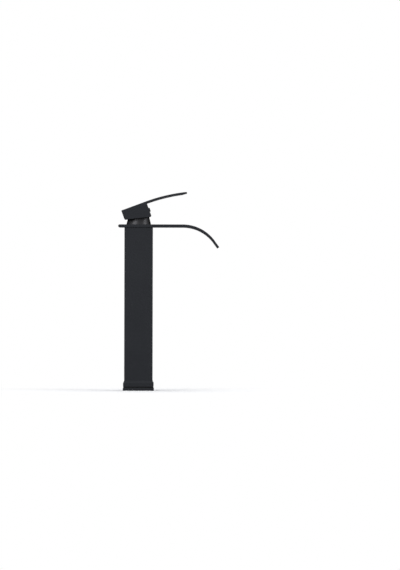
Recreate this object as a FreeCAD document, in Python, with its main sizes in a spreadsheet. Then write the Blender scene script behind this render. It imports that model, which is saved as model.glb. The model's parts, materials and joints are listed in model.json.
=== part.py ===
import FreeCAD, Part
import math
import os
import re
import Sketcher
from FreeCAD import Placement, Rotation, Vector

# Tall single-lever basin mixer with a square column and a flat waterfall spout.
# The origin is the middle of the foot where it stands on the deck, +Z is up and +X runs along the spout.

# Driving dimensions in millimetres and degrees
SIZES = {
    # Clearances
    "fit_gap": 0.05,
    "run_gap": 0.15,
    # Base plate, its gasket, and the thin gasket that shows as a seam below the column
    "base_thickness": 6.4,
    "base_lip": 0.4,
    "base_corner": 1.6,
    "base_edge": 0.6,
    "seam_height": 1.8,
    "seam_depth": 0.3,
    "base_ledge": 4.0,
    "base_rim_height": 2.2,
    "base_rim_wall": 1.6,
    "gasket_inset": 1.0,
    "gasket_width": 3.0,
    "gasket_depth": 1.8,
    # Column and its flared foot
    "column_width": 45.0,
    "column_corner": 1.2,
    "column_wall": 2.0,
    "column_top_wall": 4.0,
    "column_edge": 0.4,
    "bore_corner": 2.0,
    "foot_flare": 1.7,
    "foot_height": 5.6,
    "foot_bevel": 3.8,
    # Spout
    "spout_level": 260.0,
    "plate_thickness": 4.8,
    "plate_lip": 1.5,
    "plate_edge": 0.8,
    "rear_overhang": 10.0,
    "spout_straight": 70.5,
    "bend_radius": 62.7,
    "bend_angle": 54.0,
    "spout_lip": 10.5,
    "lip_thickness": 3.8,
    "spout_skin": 1.2,
    "spout_rim": 2.0,
    # Neck of the valve body, and the seals and cover around it
    "neck_diameter": 30.0,
    "neck_seal_width": 1.8,
    "neck_seal_height": 1.5,
    "dome_base": 39.4,
    "dome_top": 33.4,
    "dome_height": 12.6,
    "dome_roof": 1.2,
    "dome_round": 1.4,
    "dome_opening": 27.0,
    "dome_bore": 28.8,
    # Valve body
    "valve_ledge": 1.5,
    "valve_floor": 8.0,
    "gallery_gap": 1.1,
    "locate_depth": 1.6,
    "seal_land": 2.8,
    "window_width": 24.0,
    # Water ways, hot on the -Y side and cold on the +Y side
    "port_ahead": 3.0,
    "port_spread": 8.0,
    "port_diameter": 3.2,
    "outlet_diameter": 4.0,
    "outlet_behind": 1.0,
    "outlet_roof": 1.2,
    "riser_ahead": 3.0,
    "riser_spread": 15.0,
    "riser_diameter": 8.0,
    "riser_wall": 1.0,
    "riser_seat": 4.0,
    # Cartridge
    "cart_diameter": 25.0,
    "cart_gap": 0.1,
    "cart_wall": 1.8,
    "cart_flange": 2.0,
    "cart_spigot": 4.0,
    "cart_shoulder_rise": 1.8,
    "cart_top_wall": 3.0,
    "cart_neck_diameter": 21.0,
    "port_seal_width": 1.2,
    "port_seal_height": 1.0,
    "ring_seal_width": 1.3,
    "ring_seal_height": 1.6,
    "fixed_disc_thickness": 3.0,
    "moving_disc_diameter": 16.4,
    "moving_disc_thickness": 3.0,
    "mixing_diameter": 8.0,
    "mixing_depth": 1.8,
    "carrier_thickness": 5.5,
    "rail_width": 13.6,
    "rail_height": 0.9,
    "bush_flange": 3.2,
    "hub_diameter": 15.0,
    "hub_rise": 5.6,
    "pivot_diameter": 3.0,
    "pin_inset": 0.6,
    "stem_width": 6.0,
    "stem_slot": 10.0,
    "stem_below": 4.0,
    "stem_above": 20.5,
    "stem_arm": 9.5,
    "arm_diameter": 4.0,
    "ball_diameter": 5.6,
    "ball_rise": 3.8,
    # Cartridge nut
    "nut_thread": 27.0,
    "nut_thread_length": 4.0,
    "nut_across": 24.0,
    "nut_head": 3.4,
    # Lever handle, measured from the pivot along and square to its sloping top
    "lever_tilt": 20.4,
    "lever_top": 27.4,
    "block_rear": 19.4,
    "block_front": 22.7,
    "block_rear_height": 15.4,
    "block_slope": 14.0,
    "block_width": 45.0,
    "block_side_wall": 1.8,
    "block_end_wall": 1.9,
    "block_roof": 3.0,
    "block_front_round": 2.6,
    "block_edge": 1.0,
    "blade_length": 67.1,
    "blade_radius": 268.0,
    "blade_thickness": 3.7,
    "blade_taper": 5.0,
    "blade_tip_round": 5.0,
    "blade_tip_edge": 2.4,
    "blade_tip_taper": 8.0,
    "boss_width": 13.0,
    "boss_front": 9.0,
    "boss_rear": 6.0,
    "boss_level": 10.3,
    # Grub screw and the plug that hides it
    "screw_level": 13.3,
    "screw_diameter": 5.0,
    "screw_length": 8.0,
    "screw_key": 2.5,
    "screw_key_depth": 2.5,
    "plug_shank": 5.0,
    "plug_head": 6.6,
    "plug_height": 1.7,
    "plug_round": 0.9,
    # Inlet block
    "inlet_thread": 8.92,
    "inlet_depth": 11.0,
    "inlet_web": 2.0,
    "socket_depth": 7.0,
    "water_bore": 5.6,
    # Fixing below the deck
    "deck_thickness": 20.0,
    "stud_diameter": 8.0,
    "stud_room": 2.5,
    "stud_grip": 12.0,
    "stud_length": 75.0,
    "stud_edge": 0.8,
    "clamp_diameter": 50.0,
    "clamp_gap": 0.3,
    "clamp_slot": 26.0,
    "clamp_slot_web": 3.0,
    "clamp_slot_round": 4.0,
    "clamp_gasket_thickness": 3.0,
    "clamp_washer_thickness": 2.5,
    "clamp_nut_across": 13.0,
    "clamp_nut_height": 6.5,
}

# Worked-out widths, radii and heights
LEVELS = {
    "foot_width": "column_width + 2 * foot_flare",
    "base_width": "foot_width + 2 * base_lip",
    "flange_height": "base_thickness - seam_height",
    "column_bore": "column_width - 2 * column_wall",
    "base_opening": "column_bore - 2 * base_ledge",
    "gasket_diameter": "base_opening + 2 * gasket_inset + gasket_width",
    "block_bottom": "base_thickness + base_rim_height",
    "inlet_block_top": "block_bottom + inlet_depth + inlet_web + socket_depth",
    "plate_top": "spout_level + plate_thickness",
    "plate_width": "column_width + 2 * plate_lip",
    "plate_rear": "column_width / 2 + rear_overhang",
    "channel_rear": "plate_rear - spout_rim",
    "channel_floor": "spout_level + spout_skin",
    "channel_roof": "plate_top - spout_skin",
    "channel_width": "plate_width - 2 * spout_rim",
    "bend_middle": "spout_level + plate_thickness / 2 - bend_radius",
    "bend_thinning": "(plate_thickness - lip_thickness) / (1 - cos(bend_angle))",
    "bend_outer": "bend_radius + plate_thickness / 2 - bend_thinning",
    "bend_inner": "bend_radius - plate_thickness / 2",
    "neck_hole": "neck_diameter + 2 * fit_gap",
    "valve_shoulder": "spout_level - column_top_wall",
    "valve_diameter": "neck_diameter + 2 * valve_ledge",
    "cart_bore": "cart_diameter + 2 * cart_gap",
    "gallery_diameter": "cart_diameter + 2 * gallery_gap",
    "cart_inner": "cart_diameter - 2 * cart_wall",
    "cart_shoulder": "plate_top + cart_shoulder_rise",
    "cart_roof": "cart_shoulder - cart_top_wall",
    "bush_top": "cart_roof - run_gap",
    "bush_bottom": "bush_top - bush_flange",
    "carrier_top": "bush_bottom - run_gap",
    "carrier_bottom": "carrier_top - carrier_thickness",
    "disc_plane": "carrier_bottom - moving_disc_thickness",
    "spigot_top": "disc_plane - fixed_disc_thickness",
    "flange_top": "spigot_top - cart_spigot",
    "cart_seat": "flange_top - cart_flange",
    "valve_bottom": "cart_seat - valve_floor",
    "neck_top": "cart_shoulder + nut_thread_length",
    "ball_height": "carrier_bottom + ball_rise",
    "pivot_height": "ball_height + stem_arm",
    "hub_top": "pivot_height + hub_rise",
    "gallery_roof": "cart_shoulder - seal_land",
    "ring_seal_bottom": "cart_shoulder - (seal_land + ring_seal_height) / 2",
    "blade_tip_width": "block_width - 2 * blade_taper",
    "blade_sweep": "blade_length / blade_radius * 180 / pi",
    "block_front_bottom": "lever_top - block_rear_height - (block_rear + block_front) * tan(block_slope)",
    "screw_start": "(stem_width / 2 + run_gap + (screw_level + screw_diameter / 2) * sin(lever_tilt))"
    " / cos(lever_tilt)",
    "stud_behind": "base_opening / 2 - stud_room - stud_diameter / 2",
    "clamp_slot_behind": "stud_behind - stud_diameter / 2 - clamp_slot_web",
    "clamp_top": "-deck_thickness",
    "washer_top": "clamp_top - clamp_gasket_thickness",
    "washer_bottom": "washer_top - clamp_washer_thickness",
    "stud_bottom": "block_bottom + stud_grip - stud_length",
}

# How far a cut runs past the face that it leaves by
OVER = 1.0

doc = FreeCAD.newDocument("BasinMixer")
subparts = []


def bound(text):
    """The expression with each size led by the name of its sheet."""

    def led(match):
        word = match.group()
        if word in SIZES:
            return "Sizes." + word
        if word in LEVELS:
            return "Levels." + word
        return word

    return re.sub(r"[a-z_]+", led, str(text))


def fill_sheet(name, cells):
    """A sheet with one named cell per row."""
    sheet = doc.addObject("Spreadsheet::Sheet", name)
    for row, (alias, value) in enumerate(cells.items(), 1):
        sheet.set(f"A{row}", alias)
        sheet.set(f"B{row}", value)
        sheet.setAlias(f"B{row}", alias)
    doc.recompute()
    return sheet


sizes = fill_sheet("Sizes", {alias: str(value) for alias, value in SIZES.items()})
levels = fill_sheet("Levels", {alias: "=" + bound(text) for alias, text in LEVELS.items()})


def worth(text):
    """The number that an expression gives now."""
    return float(levels.evalExpression(bound(text)))


def bind(thing, prop, text):
    """Tie one property of an object to an expression."""
    thing.setExpression(prop, bound(text))


# Sketches


def sketch_on(body, role, lift="0"):
    """An empty sketch on an origin plane of the body, lifted along the plane's normal."""
    sketch = body.newObject("Sketcher::SketchObject", body.Label + "_sketch")
    plane = next(feature for feature in body.Origin.OriginFeatures if feature.Role == role)
    sketch.AttachmentSupport = [(plane, "")]
    sketch.MapMode = "FlatFace"
    bind(sketch, "AttachmentOffset.Base.z", lift)
    return sketch


def tie(sketch, kind, where, text):
    """A driving constraint whose value is an expression."""
    number = sketch.addConstraint(Sketcher.Constraint(kind, *where, worth(text)))
    sketch.setExpression(f"Constraints[{number}]", bound(text))


def place_point(sketch, geometry, point, corner):
    """Hold a point of the geometry at the corner's two expressions."""
    tie(sketch, "DistanceX", (-1, 1, geometry, point), corner[0])
    tie(sketch, "DistanceY", (-1, 1, geometry, point), corner[1])


def arc_between(start, end, radius, anticlockwise):
    """The shorter arc of the radius from start to end."""
    chord = end - start
    side = Vector(-chord.y, chord.x, 0).normalize()
    reach = math.sqrt(radius**2 - (chord.Length / 2) ** 2)
    middle = start + chord / 2 + side * (reach if anticlockwise else -reach)
    first, last = (start, end) if anticlockwise else (end, start)
    angles = [math.atan2(point.y - middle.y, point.x - middle.x) for point in (first, last)]
    return Part.ArcOfCircle(Part.Circle(middle, Vector(0, 0, 1), radius), *angles)


def outline(sketch, corners, arcs=None):
    """A closed outline through corners. arcs gives, by the corner an arc starts at, its radius and whether it
    runs anticlockwise."""
    arcs = arcs or {}
    base = sketch.GeometryCount
    count = len(corners)
    points = [Vector(worth(across), worth(up), 0) for across, up in corners]
    ends = []
    for number in range(count):
        start, end = points[number], points[(number + 1) % count]
        if number in arcs:
            radius, anticlockwise = arcs[number]
            sketch.addGeometry(arc_between(start, end, worth(radius), anticlockwise))
            ends.append((1, 2) if anticlockwise else (2, 1))
        else:
            sketch.addGeometry(Part.LineSegment(start, end))
            ends.append((1, 2))
    for number in range(count):
        following = (number + 1) % count
        joint = (base + number, ends[number][1], base + following, ends[following][0])
        sketch.addConstraint(Sketcher.Constraint("Coincident", *joint))
    for number, corner in enumerate(corners):
        place_point(sketch, base + number, ends[number][0], corner)
        if number in arcs:
            tie(sketch, "Radius", (base + number,), arcs[number][0])


def rectangle(sketch, low, high):
    """A rectangle from its low corner to its high corner."""
    outline(sketch, [low, (high[0], low[1]), high, (low[0], high[1])])


def circle(sketch, across, up, diameter):
    """A circle about a point."""
    middle = Vector(worth(across), worth(up), 0)
    number = sketch.addGeometry(Part.Circle(middle, Vector(0, 0, 1), worth(diameter) / 2))
    place_point(sketch, number, 3, (across, up))
    tie(sketch, "Diameter", (number,), diameter)


def rounded_square(sketch, width, corner):
    """A square about the origin with rounded corners."""
    half, flat = f"({width}) / 2", f"(({width}) / 2 - ({corner}))"
    corners = []
    for across, up in ((1, 1), (-1, 1), (-1, -1), (1, -1)):
        on_side, on_end = (f"{across} * {half}", f"{up} * {flat}"), (f"{across} * {flat}", f"{up} * {half}")
        corners += [on_side, on_end] if across == up else [on_end, on_side]
    outline(sketch, corners, {number: (corner, True) for number in (0, 2, 4, 6)})


def hexagon(sketch, across_flats):
    """A hexagon about the origin, with two corners on the X axis."""
    reach = f"({across_flats}) / sqrt(3)"
    corners = [(f"{reach} * cos({turn})", f"{reach} * sin({turn})") for turn in range(0, 360, 60)]
    outline(sketch, corners)


# Features


def new_body(label):
    body = doc.addObject("PartDesign::Body", label)
    body.Label = label
    subparts.append(body)
    return body


def grow(body, kind, sketch, length, symmetric, flipped):
    """A pad or pocket of a sketch. With no length it goes through all."""
    feature = body.newObject("PartDesign::" + kind, f"{body.Label}_{kind.lower()}")
    feature.Profile = sketch
    feature.SideType = "Symmetric" if symmetric else "One side"
    feature.Reversed = flipped
    if length is None:
        feature.Type = "ThroughAll"
    else:
        bind(feature, "Length", length)
    doc.recompute()
    return feature


def pad(body, sketch, length, symmetric=False):
    return grow(body, "Pad", sketch, length, symmetric, False)


def pocket(body, sketch, length=None, symmetric=False, flipped=False):
    """A cut against the sketch's normal, or along it when flipped. It has to remove material."""
    before = body.Shape.Volume
    feature = grow(body, "Pocket", sketch, length, symmetric, flipped)
    if body.Shape.Volume > before - 1e-6:
        raise RuntimeError(f"{feature.Label} cuts nothing")
    return feature


def turn(body, corners, arcs=None):
    """A solid turned about the Z axis from its half section of radius and height."""
    sketch = sketch_on(body, "XZ_Plane")
    outline(sketch, corners, arcs)
    feature = body.newObject("PartDesign::Revolution", body.Label + "_turned")
    feature.Profile = sketch
    feature.ReferenceAxis = (sketch, ["V_Axis"])
    feature.Angle = 360
    doc.recompute()


def ring(body, inner, outer, low, high):
    """A ring of rectangular section from its two diameters and two heights."""
    inside, outside = f"({inner}) / 2", f"({outer}) / 2"
    turn(body, [(inside, low), (outside, low), (outside, high), (inside, high)])


def soften(body, kind, prop, size, chosen):
    """A fillet or chamfer on the edges of the last feature whose inner points all pass the test."""
    base = body.Tip
    names = []
    for number, edge in enumerate(base.Shape.Edges, 1):
        if all(chosen(point) for point in edge.discretize(5)[1:-1]):
            names.append(f"Edge{number}")
    feature = body.newObject("PartDesign::" + kind, f"{body.Label}_{kind.lower()}")
    feature.Base = (base, names)
    bind(feature, prop, size)
    doc.recompute()


def fillet(body, radius, chosen):
    soften(body, "Fillet", "Radius", radius, chosen)


def chamfer(body, size, chosen):
    soften(body, "Chamfer", "Size", size, chosen)


def near(value, text):
    return abs(value - worth(text)) < 1e-4


# Base and column


def make_base_plate():
    body = new_body("base_plate")
    sketch = sketch_on(body, "XY_Plane")
    rounded_square(sketch, "base_width", "base_corner")
    pad(body, sketch, "flange_height")
    chamfer(body, "base_edge", lambda point: near(point.z, "flange_height"))

    rim_width = "column_bore - 2 * fit_gap"
    sketch = sketch_on(body, "XY_Plane", "flange_height")
    rounded_square(sketch, rim_width, "bore_corner")
    rounded_square(sketch, rim_width + " - 2 * base_rim_wall", "bore_corner / 2")
    pad(body, sketch, "seam_height + base_rim_height")

    sketch = sketch_on(body, "XY_Plane")
    circle(sketch, "0", "0", "base_opening")
    pocket(body, sketch, "flange_height", flipped=True)

    sketch = sketch_on(body, "XY_Plane")
    circle(sketch, "0", "0", "gasket_diameter + gasket_width + 2 * fit_gap")
    circle(sketch, "0", "0", "gasket_diameter - gasket_width - 2 * fit_gap")
    pocket(body, sketch, "gasket_depth", flipped=True)


def make_base_gasket():
    inner, outer = "gasket_diameter - gasket_width", "gasket_diameter + gasket_width"
    ring(new_body("base_gasket"), inner, outer, "0", "gasket_depth")


def make_column_gasket():
    """A thin ring around the base plate's rim, slightly inside the foot that stands on it."""
    body = new_body("column_gasket")
    sketch = sketch_on(body, "XY_Plane", "flange_height")
    rounded_square(sketch, "foot_width - 2 * seam_depth", "base_corner")
    rounded_square(sketch, "column_bore", "bore_corner")
    pad(body, sketch, "seam_height")


def make_column():
    body = new_body("column")
    sketch = sketch_on(body, "XY_Plane", "base_thickness")
    rounded_square(sketch, "column_width", "column_corner")
    pad(body, sketch, "spout_level - base_thickness")
    chamfer(body, "column_edge", lambda point: near(point.z, "spout_level"))

    foot = sketch_on(body, "XY_Plane", "base_thickness")
    rounded_square(foot, "foot_width", "base_corner")
    pad(body, foot, "foot_height")
    below = sketch_on(body, "XY_Plane", "base_thickness + foot_height")
    rounded_square(below, "foot_width", "base_corner")
    above = sketch_on(body, "XY_Plane", "base_thickness + foot_height + foot_bevel")
    rounded_square(above, "column_width", "column_corner")
    flare = body.newObject("PartDesign::AdditiveLoft", "column_flare")
    flare.Profile = below
    flare.Sections = [above]
    doc.recompute()

    sketch = sketch_on(body, "XY_Plane", "base_thickness")
    rounded_square(sketch, "column_bore", "bore_corner")
    pocket(body, sketch, "valve_shoulder - base_thickness", flipped=True)
    sketch = sketch_on(body, "XY_Plane", "spout_level")
    circle(sketch, "0", "0", "neck_hole")
    pocket(body, sketch, "column_top_wall")
    sketch = sketch_on(body, "XY_Plane", "spout_level")
    circle(sketch, "0", "0", "neck_hole + 2 * neck_seal_width + 2 * fit_gap")
    pocket(body, sketch, "neck_seal_height")


# Spout


def past_bend(radius, run="0", rise="0"):
    """The end of the spout's bend at a radius, or the point at a run along the straight lip after it."""
    ahead = f"spout_straight + ({radius}) * sin(bend_angle) + ({run}) * cos(bend_angle)"
    return ahead, f"bend_middle + {rise} + ({radius}) * cos(bend_angle) - ({run}) * sin(bend_angle)"


def bent_corners(floor, roof, inner, outer, lip, thinning):
    """The corners of a layer of the spout from the start of the bend, around the lip's end and back.

    The layer gets thinner along the bend because the centre of its outer arc lies higher by the thinning.
    """
    lower = [("spout_straight", floor), past_bend(inner), past_bend(inner, lip)]
    outer_lip = f"{lip} + {thinning} * sin(bend_angle)"
    upper = [past_bend(outer, outer_lip, thinning), past_bend(outer, "0", thinning)]
    return lower + upper + [("spout_straight", roof)]


def spout_strip(sketch, rear, floor, roof, inner, outer, lip="spout_lip", thinning="0"):
    """The side view of a layer of the spout: straight from the rear, bent down, and straight again."""
    corners = [(rear, floor), *bent_corners(floor, roof, inner, outer, lip, thinning), (rear, roof)]
    outline(sketch, corners, {1: (inner, False), 5: (outer, True)})


def cut_neck_hole(body):
    sketch = sketch_on(body, "XY_Plane", "spout_level")
    circle(sketch, "0", "0", "neck_hole")
    pocket(body, sketch, flipped=True)


def make_spout_top_shell():
    body = new_body("spout_top_shell")
    sketch = sketch_on(body, "XZ_Plane")
    nose = "plate_thickness / 2"
    corners = [
        (f"-plate_rear + {nose}", "spout_level"),
        *bent_corners("spout_level", "plate_top", "bend_inner", "bend_outer", "spout_lip", "bend_thinning"),
        (f"-plate_rear + {nose}", "plate_top"),
        ("-plate_rear", f"spout_level + {nose}"),
    ]
    arcs = {1: ("bend_inner", False), 5: ("bend_outer", True), 7: (nose, True), 8: (nose, True)}
    outline(sketch, corners, arcs)
    pad(body, sketch, "plate_width", symmetric=True)

    def long_edge(point):
        ahead, above = point.x - worth("spout_straight"), point.z - worth("bend_middle")
        run = ahead * worth("cos(bend_angle)") - above * worth("sin(bend_angle)")
        return near(abs(point.y), "plate_width / 2") and not near(run, "spout_lip")

    fillet(body, "plate_edge", long_edge)

    sketch = sketch_on(body, "XZ_Plane")
    floor, inner, outer = f"spout_level - {OVER}", f"bend_inner - {OVER}", "bend_outer - spout_skin"
    past_tip = f"spout_lip + {OVER}"
    spout_strip(sketch, "-channel_rear", floor, "channel_roof", inner, outer, past_tip, "bend_thinning")
    pocket(body, sketch, "channel_width", symmetric=True)
    cut_neck_hole(body)


def make_spout_bottom_plate():
    body = new_body("spout_bottom_plate")
    sketch = sketch_on(body, "XZ_Plane")
    layer = ("spout_level", "channel_floor", "bend_inner", "bend_inner + spout_skin")
    spout_strip(sketch, "-channel_rear + fit_gap", *layer)
    pad(body, sketch, "channel_width - 2 * fit_gap", symmetric=True)
    cut_neck_hole(body)


def make_neck_seals():
    inner, outer = "neck_hole", "neck_hole + 2 * neck_seal_width"
    ring(new_body("spout_lower_seal"), inner, outer, "spout_level - neck_seal_height", "spout_level")
    ring(new_body("spout_upper_seal"), inner, outer, "plate_top", "plate_top + neck_seal_height")


def make_dome_cover():
    body = new_body("dome_cover")
    thread = "neck_hole / 2"
    counterbore = "neck_hole / 2 + neck_seal_width + fit_gap"
    ledge = "neck_top + run_gap"
    top = "plate_top + dome_height"
    corners = [
        (counterbore, "plate_top"),
        ("dome_base / 2", "plate_top"),
        ("dome_top / 2", top),
        ("dome_opening / 2", top),
        ("dome_opening / 2", f"{top} - dome_roof"),
        ("dome_bore / 2", f"{top} - dome_roof"),
        ("dome_bore / 2", ledge),
        (thread, ledge),
        (thread, "plate_top + neck_seal_height"),
        (counterbore, "plate_top + neck_seal_height"),
    ]
    turn(body, corners)
    rim = "dome_top / 2"
    fillet(body, "dome_round", lambda point: near(point.z, top) and near(math.hypot(point.x, point.y), rim))


# Valve body and cartridge


def port_pair(sketch, ahead, spread, diameter):
    """Two circles side by side, for hot and cold."""
    for side in (-1, 1):
        circle(sketch, ahead, f"{side} * ({spread}) / 2", diameter)


def make_valve_body():
    body = new_body("valve_body")
    bore, gallery = "cart_bore / 2", "gallery_diameter / 2"
    thread = "nut_thread / 2 + fit_gap"
    locate = "cart_seat + locate_depth"
    corners = [
        ("0", "valve_bottom"),
        ("valve_diameter / 2", "valve_bottom"),
        ("valve_diameter / 2", "valve_shoulder"),
        ("neck_diameter / 2", "valve_shoulder"),
        ("neck_diameter / 2", "neck_top"),
        (thread, "neck_top"),
        (thread, "cart_shoulder"),
        (bore, "cart_shoulder"),
        (bore, "gallery_roof"),
        (gallery, "gallery_roof"),
        (gallery, locate),
        (bore, locate),
        (bore, "cart_seat"),
        ("0", "cart_seat"),
    ]
    turn(body, corners)
    sketch = sketch_on(body, "XZ_Plane")
    rectangle(sketch, ("0", "channel_floor"), ("neck_diameter", "channel_roof"))
    pocket(body, sketch, "window_width", symmetric=True)
    sketch = sketch_on(body, "XY_Plane", "valve_bottom")
    port_pair(sketch, "riser_ahead", "riser_spread", "riser_diameter + 2 * fit_gap")
    pocket(body, sketch, "riser_seat", flipped=True)
    sketch = sketch_on(body, "XY_Plane", "cart_seat")
    port_pair(sketch, "port_ahead", "port_spread", "port_diameter")
    pocket(body, sketch, "valve_floor - riser_seat / 2")


def make_cartridge_base():
    body = new_body("cartridge_base")
    spigot = "cart_inner / 2 - fit_gap"
    corners = [
        ("0", "cart_seat"),
        ("cart_diameter / 2", "cart_seat"),
        ("cart_diameter / 2", "flange_top"),
        (spigot, "flange_top"),
        (spigot, "spigot_top"),
        ("0", "spigot_top"),
    ]
    turn(body, corners)
    sketch = sketch_on(body, "XY_Plane", "spigot_top")
    port_pair(sketch, "port_ahead", "port_spread", "port_diameter")
    pocket(body, sketch)
    sketch = sketch_on(body, "XY_Plane", "cart_seat")
    port_pair(sketch, "port_ahead", "port_spread", "port_diameter + 2 * (port_seal_width + fit_gap)")
    pocket(body, sketch, "port_seal_height", flipped=True)
    sketch = sketch_on(body, "XY_Plane", "spigot_top")
    circle(sketch, "-outlet_behind", "0", "outlet_diameter")
    pocket(body, sketch, "cart_spigot")
    sketch = sketch_on(body, "XZ_Plane")
    rectangle(sketch, ("-cart_diameter", "flange_top"), ("-outlet_behind", "spigot_top - outlet_roof"))
    pocket(body, sketch, "outlet_diameter", symmetric=True)


def make_cartridge_port_seals():
    """One small ring around each inlet port, below the cartridge base."""
    body = new_body("cartridge_port_seals")
    sketch = sketch_on(body, "XY_Plane", "cart_seat")
    port_pair(sketch, "port_ahead", "port_spread", "port_diameter + 2 * port_seal_width")
    port_pair(sketch, "port_ahead", "port_spread", "port_diameter")
    pad(body, sketch, "port_seal_height")


def make_cartridge_housing():
    body = new_body("cartridge_housing")
    outer, inner = "cart_diameter / 2", "cart_inner / 2"
    neck, bore = "cart_neck_diameter / 2", "hub_diameter / 2 + run_gap"
    groove = "cart_bore / 2 - ring_seal_width - fit_gap"
    groove_low, groove_high = "ring_seal_bottom - fit_gap", "ring_seal_bottom + ring_seal_height + fit_gap"
    corners = [
        (inner, "flange_top"),
        (outer, "flange_top"),
        (outer, groove_low),
        (groove, groove_low),
        (groove, groove_high),
        (outer, groove_high),
        (outer, "cart_shoulder"),
        (neck, "cart_shoulder"),
        (neck, "hub_top"),
        (bore, "hub_top"),
        (bore, "cart_roof"),
        (inner, "cart_roof"),
    ]
    turn(body, corners)
    sketch = sketch_on(body, "XZ_Plane")
    rectangle(sketch, ("-cart_diameter", "flange_top"), ("-outlet_behind", "spigot_top - outlet_roof"))
    pocket(body, sketch, "outlet_diameter", symmetric=True)


def make_cartridge_o_ring():
    outer = "cart_bore - 2 * fit_gap"
    height = ("ring_seal_bottom", "ring_seal_bottom + ring_seal_height")
    ring(new_body("cartridge_o_ring"), f"{outer} - 2 * ring_seal_width", outer, *height)


def make_fixed_ceramic_disc():
    body = new_body("fixed_ceramic_disc")
    sketch = sketch_on(body, "XY_Plane", "spigot_top")
    circle(sketch, "0", "0", "cart_inner - 2 * fit_gap")
    port_pair(sketch, "port_ahead", "port_spread", "port_diameter")
    circle(sketch, "-outlet_behind", "0", "outlet_diameter")
    pad(body, sketch, "fixed_disc_thickness")


def make_moving_ceramic_disc():
    body = new_body("moving_ceramic_disc")
    sketch = sketch_on(body, "XY_Plane", "disc_plane")
    circle(sketch, "0", "0", "moving_disc_diameter")
    pad(body, sketch, "moving_disc_thickness")
    sketch = sketch_on(body, "XY_Plane", "disc_plane")
    circle(sketch, "0", "0", "mixing_diameter")
    pocket(body, sketch, "mixing_depth", flipped=True)


def make_disc_carrier():
    body = new_body("disc_carrier")
    sketch = sketch_on(body, "XY_Plane", "carrier_bottom")
    circle(sketch, "0", "0", "moving_disc_diameter")
    pad(body, sketch, "carrier_thickness")
    sketch = sketch_on(body, "XY_Plane", "carrier_top")
    reach = "sqrt(moving_disc_diameter * moving_disc_diameter - rail_width * rail_width) / 2"
    rectangle(sketch, (f"-{reach}", "-rail_width / 2"), (reach, "rail_width / 2"))
    pad(body, sketch, "run_gap + rail_height")
    sketch = sketch_on(body, "XY_Plane", "carrier_bottom")
    circle(sketch, "0", "0", "ball_diameter + 2 * run_gap")
    pocket(body, sketch, flipped=True)


def make_stem_bush():
    body = new_body("stem_bush")
    flange, hub = "cart_inner / 2 - run_gap", "hub_diameter / 2"
    corners = [
        ("0", "bush_bottom"),
        (flange, "bush_bottom"),
        (flange, "bush_top"),
        (hub, "bush_top"),
        (hub, "hub_top"),
        ("0", "hub_top"),
    ]
    turn(body, corners)
    slot = ("stem_slot / 2", "stem_width / 2 + run_gap")
    sketch = sketch_on(body, "XY_Plane", "hub_top")
    rectangle(sketch, (f"-{slot[0]}", f"-({slot[1]})"), slot)
    pocket(body, sketch)
    sketch = sketch_on(body, "YZ_Plane")
    side, top = "rail_width / 2 + run_gap", "bush_bottom + rail_height + run_gap"
    rectangle(sketch, (f"-({side})", f"bush_bottom - {OVER}"), (side, top))
    pocket(body, sketch, "cart_diameter", symmetric=True)
    sketch = sketch_on(body, "XZ_Plane")
    circle(sketch, "0", "pivot_height", "pivot_diameter + 2 * fit_gap")
    pocket(body, sketch, "cart_diameter", symmetric=True)


def make_stem_pivot_pin():
    body = new_body("stem_pivot_pin")
    sketch = sketch_on(body, "XZ_Plane")
    circle(sketch, "0", "pivot_height", "pivot_diameter")
    pad(body, sketch, "hub_diameter - 2 * pin_inset", symmetric=True)


def make_cartridge_stem():
    """The square stem with its lower arm and ball, which pushes the carrier."""
    bar = doc.addObject("Part::Box", "stem_bar")
    for prop in ("Length", "Width"):
        bind(bar, prop, "stem_width")
    for prop in ("Placement.Base.x", "Placement.Base.y"):
        bind(bar, prop, "-stem_width / 2")
    bind(bar, "Height", "stem_below + stem_above")
    bind(bar, "Placement.Base.z", "pivot_height - stem_below")
    arm = doc.addObject("Part::Cylinder", "stem_lower_arm")
    bind(arm, "Radius", "arm_diameter / 2")
    bind(arm, "Height", "stem_arm - stem_below / 2")
    bind(arm, "Placement.Base.z", "ball_height")
    ball = doc.addObject("Part::Sphere", "stem_ball")
    bind(ball, "Radius", "ball_diameter / 2")
    bind(ball, "Placement.Base.z", "ball_height")
    whole = doc.addObject("Part::MultiFuse", "stem_whole")
    whole.Shapes = [bar, arm, ball]
    hole = doc.addObject("Part::Cylinder", "stem_pivot_hole")
    bind(hole, "Radius", "pivot_diameter / 2 + fit_gap")
    bind(hole, "Height", "2 * stem_width")
    hole.Placement = Placement(Vector(), Rotation(Vector(1, 0, 0), -90))
    bind(hole, "Placement.Base.y", "-stem_width")
    bind(hole, "Placement.Base.z", "pivot_height")
    stem = doc.addObject("Part::Cut", "cartridge_stem")
    stem.Base = whole
    stem.Tool = hole
    stem.Label = "cartridge_stem"
    subparts.append(stem)


def make_cartridge_nut():
    body = new_body("cartridge_nut")
    sketch = sketch_on(body, "XY_Plane", "cart_shoulder")
    circle(sketch, "0", "0", "nut_thread")
    pad(body, sketch, "nut_thread_length")
    sketch = sketch_on(body, "XY_Plane", "neck_top")
    hexagon(sketch, "nut_across")
    pad(body, sketch, "nut_head")
    sketch = sketch_on(body, "XY_Plane", "cart_shoulder")
    circle(sketch, "0", "0", "cart_neck_diameter + 2 * fit_gap")
    pocket(body, sketch, flipped=True)


# Lever handle. Its sketches lie in a frame at the pivot, tilted with the handle's top.


def tilt_with_lever(body):
    body.Placement = Placement(Vector(), Rotation(Vector(0, -1, 0), 1))
    bind(body, "Placement.Rotation.Angle", "lever_tilt")
    bind(body, "Placement.Base.z", "pivot_height")


def upright(ahead, above):
    """A point given ahead of and above the pivot, in the handle's tilted frame."""
    along = f"(({ahead}) * cos(lever_tilt) + ({above}) * sin(lever_tilt))"
    square = f"(({above}) * cos(lever_tilt) - ({ahead}) * sin(lever_tilt))"
    return along, square


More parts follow.
